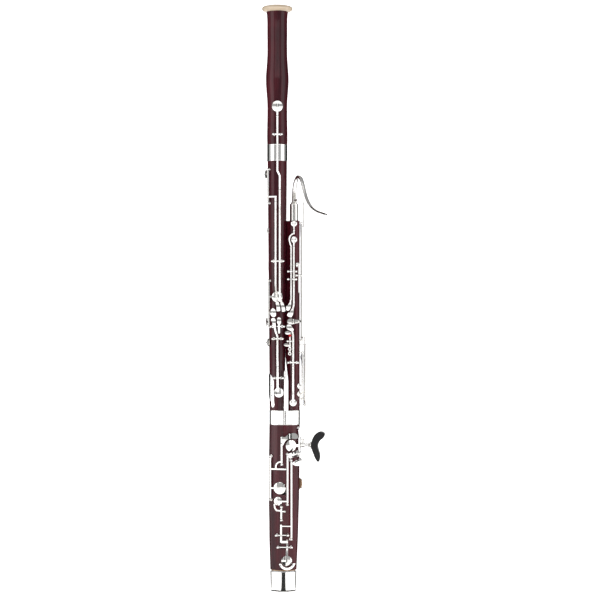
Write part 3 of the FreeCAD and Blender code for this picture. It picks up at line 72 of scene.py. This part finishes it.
class Finish:
    """A material, with one method that adds any node to it."""

    def __init__(self, name):
        self.material = bpy.data.materials.new(name)
        self.material.use_nodes = True
        self.tree = self.material.node_tree
        self.tree.nodes.clear()
        self.place = self.node("ShaderNodeTexCoord", output="Object")

    def node(self, kind, settings=None, values=None, output=0):
        made = self.tree.nodes.new(kind)
        for key, value in (settings or {}).items():
            if key == "stops":
                ramp = made.color_ramp.elements
                for at, colour in value[2:]:
                    ramp.new(at)
                for stop, (at, colour) in zip(ramp, sorted(value, key=lambda pair: pair[0])):
                    stop.position, stop.color = at, colour
            else:
                setattr(made, key, value)
        for key, value in (values or {}).items():
            if isinstance(value, Flow):
                self.tree.links.new(value.socket, made.inputs[key])
            else:
                made.inputs[key].default_value = value
        return Flow(self, made.outputs[output])

    def stretched(self, scale):
        """The place on the piece, scaled along each axis: a small scale draws a pattern out."""
        return self.node("ShaderNodeMapping", None, {"Vector": self.place, "Scale": scale})

    def noise(self, scale, detail=3.0, roughness=0.55, stretch=(1, 1, 1), distortion=0.0):
        return self.node("ShaderNodeTexNoise", None, {
            "Vector": self.stretched(stretch), "Scale": scale, "Detail": detail,
            "Roughness": roughness, "Distortion": distortion})

    def between(self, share, low, high):
        """A colour between two others."""
        return self.node("ShaderNodeMix", {"data_type": "RGBA"},
                         {0: share, 6: (*low, 1), 7: (*high, 1)}, 2)

    def mixed(self, share, low, high):
        """A mix of two colours that may themselves be sockets."""
        return self.node("ShaderNodeMix", {"data_type": "RGBA"}, {0: share, 6: low, 7: high}, 2)

    def range(self, value, low, high, out_low=0.0, out_high=1.0):
        """A smooth step of a value from one span to another."""
        return self.node("ShaderNodeMapRange", {"interpolation_type": "SMOOTHSTEP"}, {
            0: value, 1: low, 2: high, 3: out_low, 4: out_high})

    def bump(self, height, distance, strength=1.0, under=None):
        values = {"Height": height, "Distance": distance, "Strength": strength}
        if under is not None:
            values["Normal"] = under
        return self.node("ShaderNodeBump", None, values)

    def surface(self, **values):
        """The Principled shader; underscores in the names stand for spaces."""
        named = {key.replace("_", " "): value for key, value in values.items()}
        shader = self.node("ShaderNodeBsdfPrincipled", None, named)
        self.finish_with(shader)
        return self.material

    def finish_with(self, shader):
        out = self.tree.nodes.new("ShaderNodeOutputMaterial")
        self.tree.links.new(shader.socket, out.inputs["Surface"])


def lacquered_maple():
    wood = Finish("lacquered_maple")
    grain = wood.noise(60.0, 5.0, 0.6, (1, 1, 0.035), 0.4)
    streak = wood.noise(16.0, 3.0, 0.5, (1, 1, 0.05), 0.2)
    figure = wood.noise(24.0, 2.0, 0.5, (0.35, 0.35, 1.0), 0.8)
    pores = wood.noise(260.0, 2.0, 0.5, (1, 1, 0.03))
    tone = grain * 0.5 + streak * 0.35 + figure * 0.15
    dark_stain, light_stain = (0.027, 0.0024, 0.0056), (0.073, 0.0064, 0.0125)
    stain = wood.between(wood.range(tone, 0.38, 0.62), dark_stain, light_stain)
    pore = wood.range(pores, 0.62, 0.70)
    colour = wood.mixed(pore * 0.5, stain, (0.022, 0.0020, 0.004, 1))
    lacquer = wood.bump(wood.noise(9.0, 2.0, 0.5, (1, 1, 0.4)), 0.0004, 0.15)
    normal = wood.bump(1.0 - pore, 0.00003, 0.3, lacquer)
    return wood.surface(
        Base_Color=colour, Roughness=wood.range(grain, 0.3, 0.7, 0.20, 0.32), Normal=normal,
        Coat_Weight=0.55, Coat_Roughness=0.03, Coat_IOR=1.45, Specular_IOR_Level=0.1)


maple = lacquered_maple()


def dress(finish, *names):
    """Gives CAD nodes a finish in every material slot."""
    for name in names:
        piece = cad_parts[name]
        if not piece.material_slots:
            piece.data.materials.append(finish)
        for material_slot in piece.material_slots:
            material_slot.material = finish


dress(maple, "bell_joint", "bass_joint", "wing_joint", "boot_joint")

# ---------------------------------------------------------------- the bell ring
# A turned ring of cream imitation ivory is glued over the spigot at the top of the bell.
# It is polished, with the fine wavy layers that the cast material shows.


def ivory():
    cream = Finish("cream_ring")
    layers = cream.node("ShaderNodeTexWave", {"wave_type": "BANDS", "bands_direction": "DIAGONAL"}, {
        "Vector": cream.place, "Scale": 190.0, "Distortion": 3.0, "Detail": 2.0,
        "Detail Scale": 1.5})
    cloud = cream.noise(45.0, 3.0)
    body = cream.between(cloud, (0.52, 0.41, 0.29), (0.60, 0.49, 0.37))
    colour = cream.mixed(layers * 0.18, body, (0.42, 0.31, 0.20, 1))
    return cream.surface(
        Base_Color=colour, Roughness=cream.range(cloud, 0.3, 0.7, 0.20, 0.30),
        Subsurface_Weight=0.08, Subsurface_Radius=(0.004, 0.003, 0.002), Coat_Weight=0.4,
        Coat_Roughness=0.08, Normal=cream.bump(layers, 0.00002, 0.2))


dress(ivory(), "bell_ring")

# ---------------------------------------------------------------- the silver work
# Bands, cap, posts and keys are cast or turned nickel silver, silver plated and buffed.
# Buffing leaves hairlines, and a faint yellow bloom of tarnish lies in patches. The bocal
# is duller than the rest.


def silver_plate(name, along=(1, 1, 1), tarnish=0.35, shine=0.93):
    plate = Finish(name)
    bloom = plate.noise(28.0, 3.0, 0.6)
    hairs = plate.noise(900.0, 2.0, 0.5, along)
    clean = (shine, shine * 0.99, shine * 0.973)
    yellowed = (shine * 0.92, shine * 0.86, shine * 0.75)
    colour = plate.between(plate.range(bloom, 0.42, 0.75) * tarnish, clean, yellowed)
    rough = plate.range(bloom, 0.3, 0.75, 0.05, 0.12)
    return plate.surface(Base_Color=colour, Metallic=1.0, Roughness=rough,
                         Normal=plate.bump(hairs, 0.0000006, 0.2))


plated = silver_plate("silver_plate", (1, 1, 0.06))
keys = [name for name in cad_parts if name.endswith(("_key", "_lever", "_lock", "_link"))]
dress(plated, *keys)
dress(plated, "key_posts", "pad_guard", "hand_plate", "lock_rod", "strap_ring",
      "hand_rest_plate", "crutch_post", "crutch_screw")
dress(silver_plate("bocal_plate", (1, 1, 1), 0.9, 0.80), "bocal")
banding = silver_plate("silver_bands", (0.06, 0.06, 1), 0.2)
dress(banding, "bell_ferrule", "boot_top_band", "boot_cap", "wing_top_band")

# ---------------------------------------------------------------- pivot screws
# Every key turns on a steel rod between two posts. A slotted steel screw head closes each
# end of the rod and is turned home in the post ball. One piece, fixed to the instrument.


CREASE = math.radians(40.0)


def piece_from(name, shape, finish, body):
    """A mesh piece at the origin that rides a body, smooth except at sharp edges."""
    mesh = bpy.data.meshes.new(name)
    bmesh.ops.recalc_face_normals(shape, faces=shape.faces)
    for face in shape.faces:
        face.smooth = True
    for edge in shape.edges:
        edge.smooth = edge.calc_face_angle(math.pi) < CREASE
    shape.to_mesh(mesh)
    shape.free()
    mesh.materials.append(finish)
    piece = bpy.data.objects.new(name, mesh)
    bpy.context.scene.collection.objects.link(piece)
    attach(piece, body)
    return piece


def facing(place, out):
    """The matrix that stands a shape drawn along +Z on a place, along a direction."""
    turn = Vector(out).to_track_quat("Z", "Y").to_matrix().to_4x4()
    return Matrix.Translation(place) @ turn


def turned(shape, profile, matrix, around=24, angle=360.0, shift=(0, 0, 0)):
    """Spins a profile of (radius, height) points about +Z and places it."""
    rail = [shape.verts.new((r, 0, z)) for r, z in profile]
    edges = [shape.edges.new(pair) for pair in zip(rail, rail[1:])]
    bmesh.ops.spin(shape, geom=rail + edges, cent=(0, 0, 0), axis=(0, 0, 1),
                   angle=math.radians(angle), steps=around, use_merge=angle > 359)
    fresh = [vert for vert in shape.verts if not vert.tag]
    for vert in fresh:
        vert.co = matrix @ (vert.co + Vector(shift))
        vert.tag = True
    bmesh.ops.remove_doubles(shape, verts=fresh, dist=1e-7)


def screw_head(shape, place, out, radius=0.0016, rise=0.0006, slot=0.00032):
    """A domed head with a straight slot: two half domes over a thin disc."""
    out = Vector(out).normalized()
    dome = [(radius, -0.0002), (radius, rise * 0.35), (radius * 0.82, rise * 0.75),
            (radius * 0.45, rise * 0.97), (0.00001, rise)]
    for side in (1, -1):
        half = facing(place, out) @ Matrix.Rotation(math.radians(90 - side * 90), 4, "Z")
        turned(shape, dome, half, 12, 180.0, (0, slot / 2, 0))
    turned(shape, [(radius * 0.98, -0.0003), (radius * 0.98, rise * 0.2), (0.00001, rise * 0.2)],
           facing(place, out), 20)


def islands(mesh):
    """The separate solids of a CAD mesh, each as its points."""
    joined = bmesh.new()
    joined.from_mesh(mesh)
    bmesh.ops.remove_doubles(joined, verts=joined.verts, dist=1e-6)
    found, seen = [], set()
    for seed in joined.verts:
        if seed in seen:
            continue
        queue, group = [seed], []
        seen.add(seed)
        while queue:
            vert = queue.pop()
            group.append(vert.co.copy())
            for edge in vert.link_edges:
                other = edge.other_vert(vert)
                if other not in seen:
                    seen.add(other)
                    queue.append(other)
        found.append(group)
    joined.free()
    return found


def rod_ends(points):
    """The two end centres of a straight rod."""
    middle = sum(points, Vector()) / len(points)
    far = max(points, key=lambda point: (point - middle).length)
    way = (far - middle).normalized()
    low, high = [pick(points, key=lambda point: way.dot(point - middle)) for pick in (min, max)]
    ends = []
    for end in (low, high):
        near = [p for p in points if abs(way.dot(p - end)) < 0.0002]
        ends.append(sum(near, Vector()) / len(near))
    return ends


def turned_steel(name, low, high):
    steel = Finish(name)
    rings = steel.noise(1400.0, 2.0, 0.5, (0.05, 0.05, 1))
    colour = steel.between(steel.noise(60.0), low, high)
    return steel.surface(Base_Color=colour, Metallic=1.0,
                         Roughness=steel.range(rings, 0.3, 0.7, 0.2, 0.34),
                         Normal=steel.bump(rings, 0.000008, 0.5))


steel = turned_steel("turned_steel", (0.42, 0.43, 0.45), (0.56, 0.57, 0.60))
dress(steel, "hinge_rods", "end_bow")
rods = [rod_ends(points) for points in islands(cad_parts["hinge_rods"].data)]
heads = bmesh.new()
for low, high in rods:
    way = (high - low).normalized()
    screw_head(heads, high, way)
    screw_head(heads, low, -way)
piece_from("pivot_screws", heads, steel, "instrument")

# ---------------------------------------------------------------- key springs
# A blued steel needle is pressed into a post beside each long tube and runs under the tube
# to lean on the key. It keeps the key at rest. One piece, fixed to the instrument.
blued = turned_steel("blued_steel", (0.05, 0.07, 0.16), (0.11, 0.13, 0.24))
SHORTEST_ROD = 0.026
LONGEST_NEEDLE = 0.026
BOOT_TOP = 0.4
BASS_AXIS = -0.014
WING_AXIS = 0.0243
BASS_EDGE = 0.009


def joint_axis(place):
    """How far across the middle of the wood lies that a place stands beside."""
    if place.z > BOOT_TOP:
        return BASS_AXIS if place.x < BASS_EDGE else WING_AXIS
    return max(-0.008, min(0.014, place.x))


needles = bmesh.new()
for low, high in rods:
    if (high - low).length < SHORTEST_ROD:
        continue
    way = (high - low).normalized()
    length = min(LONGEST_NEEDLE, (high - low).length * 0.45)
    start = low + way * 0.0045
    inward = Vector((joint_axis(start) - start.x, -start.y, 0)).normalized()
    inward = (inward - way * inward.dot(way)).normalized()
    turned(needles, [(0.00001, -0.003), (0.00042, -0.0028), (0.00042, 0.0), (0.00036, length * 0.5),
                     (0.00024, length - 0.0004), (0.00001, length)],
           facing(start + inward * 0.0029, way + inward * 0.012), 10)
piece_from("key_springs", needles, blued, "instrument")

# ---------------------------------------------------------------- pads, cork, lapping, liners
# Open pads show their tan skins over felt. The bocal's foot is wrapped in cork, the tenons
# in waxed red thread, and the finger holes are lined with black hard rubber.


def soft_finish(name, low, high, rough, grain, depth):
    soft = Finish(name)
    cells = soft.noise(grain, 4.0, 0.6)
    colour = soft.between(soft.range(cells, 0.3, 0.7), low, high)
    return soft.surface(
        Base_Color=colour, Roughness=soft.range(cells, 0.3, 0.7, rough, rough + 0.15),
        Sheen_Weight=0.15, Sheen_Roughness=0.5, Normal=soft.bump(cells, depth, 0.6))


pad_skin = soft_finish("pad_skin", (0.42, 0.23, 0.12), (0.60, 0.38, 0.22), 0.55, 700.0, 0.0001)
dress(pad_skin, *[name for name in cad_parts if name.endswith("_pad")])
cork = soft_finish("fine_cork", (0.34, 0.19, 0.09), (0.62, 0.43, 0.25), 0.75, 420.0, 0.0003)
dress(cork, "bocal_cork", "bow_gasket")
dress(soft_finish("waxed_thread", (0.20, 0.01, 0.012), (0.34, 0.03, 0.03), 0.55, 900.0, 0.0002),
      "tenon_wraps")
dress(soft_finish("hard_rubber", (0.012, 0.012, 0.013), (0.02, 0.02, 0.022), 0.35, 300.0, 0.00003),
      "finger_hole_tubes")

# ---------------------------------------------------------------- the hand rest saddle
# The saddle is moulded in satin black plastic with a fine stipple. Handling has rubbed it
# smoother in patches.


def satin_black():
    black = Finish("satin_black")
    stipple = black.node("ShaderNodeTexVoronoi", {"feature": "F1"},
                         {"Vector": black.place, "Scale": 900.0})
    rub = black.noise(22.0, 2.0)
    colour = black.between(rub, (0.008, 0.008, 0.009), (0.020, 0.019, 0.020))
    return black.surface(Base_Color=colour, Roughness=black.range(rub, 0.35, 0.65, 0.30, 0.45),
                         Specular_IOR_Level=0.2, Normal=black.bump(stipple, 0.00008, 0.35))


black = satin_black()
dress(black, "crutch")

# ---------------------------------------------------------------- rollers
# The two lowest thumb plates carry black rollers on steel pins, so that the thumb can roll
# from one to the other. Each pin is held in two small silver ears on the edge of its plate.


def tree_of(name):
    """A search tree over a CAD node, for finding where its surface lies."""
    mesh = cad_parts[name].data
    return BVHTree.FromPolygons([v.co for v in mesh.vertices], [p.vertices for p in mesh.polygons])


def front_of(name, x, z):
    """The frontmost point of a CAD node at a place across and up, and its normal."""
    place, normal, _, _ = tree_of(name).ray_cast(Vector((x, -0.3, z)), Vector((0, 1, 0)))
    return place, normal


def roller(name, body, low, high, radius=0.0013):
    """A waisted roller between two ears, along the edge of a thumb plate."""
    way = (high - low).normalized()
    length = (high - low).length
    barrel = bmesh.new()
    turned(barrel, [(0.00001, 0.0012), (radius * 0.8, 0.0012), (radius, 0.0016),
                    (radius * 0.96, length / 2), (radius, length - 0.0016),
                    (radius * 0.8, length - 0.0012), (0.00001, length - 0.0012)],
           facing(low, way), 20)
    piece_from(name, barrel, black, body)
    ears = bmesh.new()
    for foot in (0.0002, length - 0.001):
        turned(ears, [(0.00001, 0), (radius * 0.75, 0), (radius * 0.9, 0.0002),
                      (radius * 0.9, 0.0006), (radius * 0.75, 0.0008), (0.00001, 0.0008)],
               facing(low + way * foot, way), 16)
    piece_from(name + "_ears", ears, plated, body)


def edge_roller(name, node, low_x, low_z, high_x, high_z):
    ends = [front_of(node, x, z)[0] + Vector((0, -0.0004, 0))
            for x, z in ((low_x, low_z), (high_x, high_z))]
    level = min(end.y for end in ends)
    roller(name, node, *[Vector((end.x, level, end.z)) for end in ends])


edge_roller("fs_roller", "fs_thumb_key", 0.0180, 0.3090, 0.0340, 0.3150)
edge_roller("ab_roller", "ab_thumb_key", 0.0250, 0.2965, 0.0370, 0.3030)

# ---------------------------------------------------------------- felt bumper
# A disc of red felt is glued to the front of the whisper lock and quiets its touch. It
# rides on the lock.
red_felt = soft_finish("red_felt", (0.42, 0.006, 0.008), (0.62, 0.02, 0.02), 0.9, 1500.0, 0.0002)
spot, up = front_of("whisper_lock", 0.0151, 0.5850)
bumper = bmesh.new()
turned(bumper, [(0.00001, -0.0001), (0.0028, -0.0001), (0.0031, 0.0004), (0.0031, 0.0011),
                (0.0026, 0.0016), (0.00001, 0.0017)], facing(spot, up), 24)
felt_disc = piece_from("felt_bumper", bumper, red_felt, "whisper_lock")

# ---------------------------------------------------------------- fitting screws
# The guard, the hand plate and the hand rest plate are held by slotted steel screws, two
# to each. One piece, fixed to the instrument.
SCREW_RISE = 0.0005
fitting = bmesh.new()
for node, x, z, radius in (
        ("pad_guard", -0.0066, 0.0622, 0.0017),
        ("pad_guard", 0.0214, 0.0622, 0.0017),
        ("hand_plate", -0.0262, 0.4700, 0.0018),
        ("hand_plate", -0.0262, 0.4480, 0.0018)):
    place, out = front_of(node, x, z)
    screw_head(fitting, place, out, radius, SCREW_RISE)
plate = tree_of("hand_rest_plate")
for z in (0.3190, 0.3500):
    place, out, _, _ = plate.ray_cast(Vector((0.2, -0.0020, z)), Vector((-1, 0, 0)))
    screw_head(fitting, place, out, 0.0019, SCREW_RISE)
piece_from("fitting_screws", fitting, steel, "instrument")

# ---------------------------------------------------------------- rolled beads
# The rims of the bands, the ferrule and the cap are rolled into a fine bead that stiffens
# the thin sheet. Each bead follows its band all round, and is one piece per band.


WIRE_RADIUS = 0.00055
BEAD_STEPS = 96
WIRE_SIDES = 10


def bead(name, node, levels):
    """Round wires laid on a band all round, at some levels."""
    tree = tree_of(node)
    low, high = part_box(node)
    middle = (Vector(low) + Vector(high)) / 2
    wires = bmesh.new()
    for level in levels:
        rings = []
        for step in range(BEAD_STEPS):
            turn = math.tau * step / BEAD_STEPS
            way = Vector((math.cos(turn), math.sin(turn), 0))
            start = Vector((middle.x, middle.y, level)) + way * 0.2
            place, _, _, _ = tree.ray_cast(start, -way)
            rings.append([wires.verts.new(place + way * WIRE_RADIUS * math.cos(side)
                                          + Vector((0, 0, WIRE_RADIUS * math.sin(side))))
                          for side in [math.tau * k / WIRE_SIDES for k in range(WIRE_SIDES)]])
        for ring, after in zip(rings, rings[1:] + rings[:1]):
            for k in range(WIRE_SIDES):
                beside = (k + 1) % WIRE_SIDES
                wires.faces.new((ring[k], ring[beside], after[beside], after[k]))
    piece_from(name, wires, banding, "instrument")


for name, node in (("ferrule_beads", "bell_ferrule"), ("boot_band_beads", "boot_top_band"),
                   ("wing_band_beads", "wing_top_band"), ("cap_beads", "boot_cap")):
    floor, roof = [corner[2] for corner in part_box(node)]
    bead(name, node, (floor + 0.0012, roof - 0.0008))

# ---------------------------------------------------------------- thumbscrew knurl
# The hand rest's post is clamped by a thumbscrew with a knurled rim, cut as fine upright
# teeth that the fingers can grip. It turns with the screw.
low, high = [Vector(corner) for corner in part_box("crutch_screw")]
centre = Vector(((low.x + high.x) / 2, (low.y + high.y) / 2, high.z - 0.0027))
rim = (high.x - low.x) / 2
TEETH = 28
teeth = bmesh.new()
for tooth in range(TEETH):
    turn = math.tau * tooth / TEETH
    out = Vector((math.cos(turn), math.sin(turn), 0))
    turned(teeth, [(0.00001, -0.0018), (0.00022, -0.0016), (0.00028, 0.0), (0.00022, 0.0016),
                   (0.00001, 0.0018)], facing(centre + out * rim, (0, 0, 1)), 6)
piece_from("thumbscrew_knurl", teeth, plated, "crutch_screw")

# ---------------------------------------------------------------- floor, light and camera
# A pale seamless sweep, which gives off a little light, stands behind and under the
# instrument. Four soft boxes light it from the sides, the top and the front, and black
# cards behind the camera, at the sides and on the floor give the metal its dark lines.
EYE = Vector((0.038, -4.0, 0.666))
VIEW_WIDTH = 1.374


def sheet_mesh(name, corners):
    """A flat board through its corners."""
    board = bmesh.new()
    board.faces.new([board.verts.new(corner) for corner in corners])
    mesh = bpy.data.meshes.new(name)
    board.to_mesh(mesh)
    board.free()
    piece = bpy.data.objects.new(name, mesh)
    bpy.context.scene.collection.objects.link(piece)
    return piece


def studio_sweep():
    half, near, far, wall, bend = 9.0, -9.0, 4.0, 8.0, 1.6
    profile = [(near, 0.0)] + [
        (far + bend * math.sin(math.radians(turn)), bend - bend * math.cos(math.radians(turn)))
        for turn in range(0, 91, 9)] + [(far + bend, wall)]
    sweep = bmesh.new()
    rail = [sweep.verts.new((-half, y, z - 0.0005)) for y, z in profile]
    edges = [sweep.edges.new(pair) for pair in zip(rail, rail[1:])]
    moved = bmesh.ops.extrude_edge_only(sweep, edges=edges)
    fresh = [v for v in moved["geom"] if isinstance(v, bmesh.types.BMVert)]
    bmesh.ops.translate(sweep, verts=fresh, vec=(2 * half, 0, 0))
    bmesh.ops.recalc_face_normals(sweep, faces=sweep.faces)
    mesh = bpy.data.meshes.new("sweep")
    sweep.to_mesh(mesh)
    sweep.free()
    for face in mesh.polygons:
        face.use_smooth = True
    piece = bpy.data.objects.new("sweep", mesh)
    bpy.context.scene.collection.objects.link(piece)
    paper = Finish("white_paper")
    fibre = paper.noise(6.0, 2.0)
    white = paper.between(fibre, (0.90, 0.90, 0.90), (0.93, 0.93, 0.93))
    mesh.materials.append(paper.surface(
        Base_Color=white, Roughness=0.9, Specular_IOR_Level=0.1,
        Emission_Color=(1, 1, 1, 1), Emission_Strength=0.75))
    return piece


studio_sweep()

CARD_HEIGHT = 2.6
cloth = Finish("flag_cloth")
felt = cloth.surface(Base_Color=(0.01, 0.01, 0.01, 1), Roughness=1.0)


def flag(name, corners):
    """A black card that shows only in reflections."""
    card = sheet_mesh(name, corners)
    card.data.materials.append(felt)
    card.visible_camera = card.visible_diffuse = card.visible_shadow = False


for name, (left, near), (right, far) in (
        ("left_flag", (-0.50, -4.6), (-0.13, -4.6)),
        ("right_flag", (0.03, -4.6), (0.44, -4.6)),
        ("left_edge_card", (-0.9, 0.25), (-0.75, 2.4)),
        ("right_edge_card", (0.9, 0.25), (0.75, 2.4))):
    flag(name, [(left, near, 0.0), (right, far, 0.0),
                (right, far, CARD_HEIGHT), (left, near, CARD_HEIGHT)])
flag("floor_wedge", [(-0.008, -0.02, 0.0003), (-0.075, -0.36, 0.0003), (0.083, -0.36, 0.0003),
                     (0.008, -0.02, 0.0003)])
flag("floor_edge", [(-0.037, -0.026, 0.0004), (0.037, -0.026, 0.0004), (0.037, 0.026, 0.0004),
                    (-0.037, 0.026, 0.0004)])
for side in (-1, 1):
    flag(f"floor_side_{side + 1}", [(side * 0.02, 0.01, 0.0003), (side * 1.16, 0.31, 0.0003),
                                    (side * 0.50, 1.09, 0.0003)])


def soft_box(name, place, aim, size, watts):
    lamp = bpy.data.lights.new(name, "AREA")
    lamp.shape = "RECTANGLE"
    lamp.size, lamp.size_y = size
    lamp.energy = watts
    piece = bpy.data.objects.new(name, lamp)
    bpy.context.scene.collection.objects.link(piece)
    piece.location = place
    piece.rotation_euler = (Vector(aim) - Vector(place)).to_track_quat("-Z", "Y").to_euler()


MIDDLE = (0.0, 0.0, 0.67)
soft_box("left_box", (-2.6, -1.6, 0.9), MIDDLE, (2.2, 3.2), 30)
soft_box("right_box", (2.7, -1.4, 0.9), MIDDLE, (2.2, 3.2), 24)
soft_box("top_box", (0.0, -3.4, 2.9), MIDDLE, (4.0, 2.6), 30)
soft_box("front_box", (-0.05, -5.0, 0.9), (-0.05, 0.0, 0.9), (0.6, 3.4), 9)
world = bpy.data.worlds.new("studio")
bpy.context.scene.world = world
world.use_nodes = True
background = world.node_tree.nodes["Background"]
background.inputs["Color"].default_value = (1, 1, 1, 1)
background.inputs["Strength"].default_value = 0.40

lens = bpy.data.cameras.new("camera")
lens.sensor_width = 36.0
lens.lens = lens.sensor_width * -EYE.y / VIEW_WIDTH
eye = bpy.data.objects.new("camera", lens)
bpy.context.scene.collection.objects.link(eye)
eye.location = EYE
eye.rotation_euler = (math.radians(90), 0, 0)
bpy.context.scene.camera = eye
bpy.context.scene.view_settings.view_transform = "Standard"
